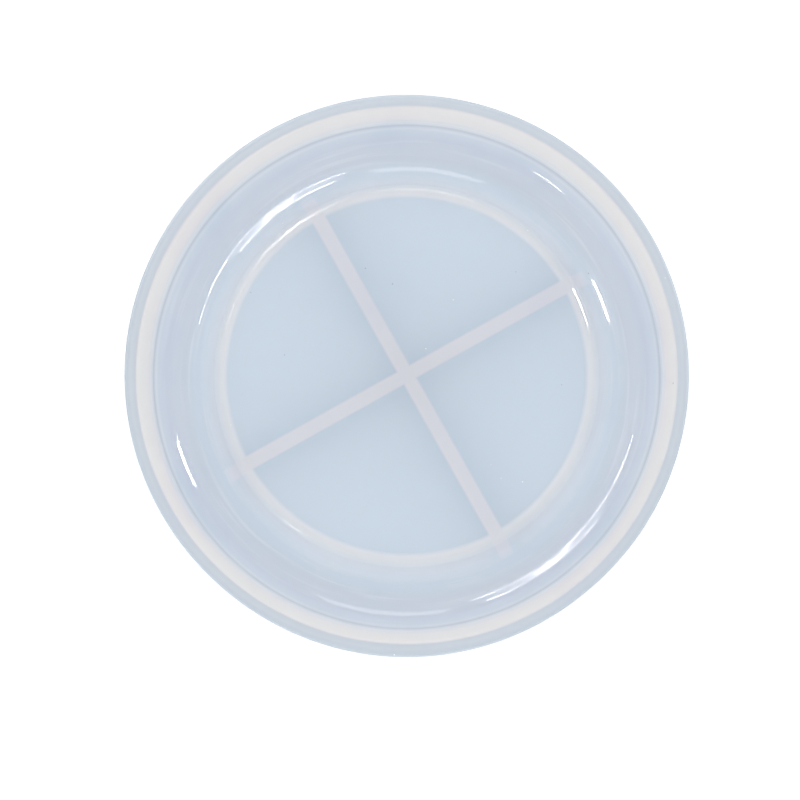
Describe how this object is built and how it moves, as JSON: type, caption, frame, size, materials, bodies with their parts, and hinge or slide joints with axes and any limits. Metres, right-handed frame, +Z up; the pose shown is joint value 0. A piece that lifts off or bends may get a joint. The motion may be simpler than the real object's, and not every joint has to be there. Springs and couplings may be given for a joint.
{
  "type": "resin casting mould",
  "caption": "Round translucent silicone mould with a raised rim, a rounded ring channel, a flat centre plateau and a support cross under it, for casting a shallow resin dish.",
  "frame": {"origin": "centre of the underside, on the surface the mould rests on", "axes": "+Z up along the axis of the round mould, towards the open side; the arms of the support cross lie along X and Y"},
  "size_m": [0.083, 0.083, 0.008],
  "materials": {
    "silicone": "glossy translucent milky silicone"
  },
  "bodies": {
    "root": {"rim_wall": "silicone", "channel_outer_side": "silicone", "channel_inner_side": "silicone", "centre_plateau": "silicone", "support_cross": "silicone"}
  },
  "joints": []
}
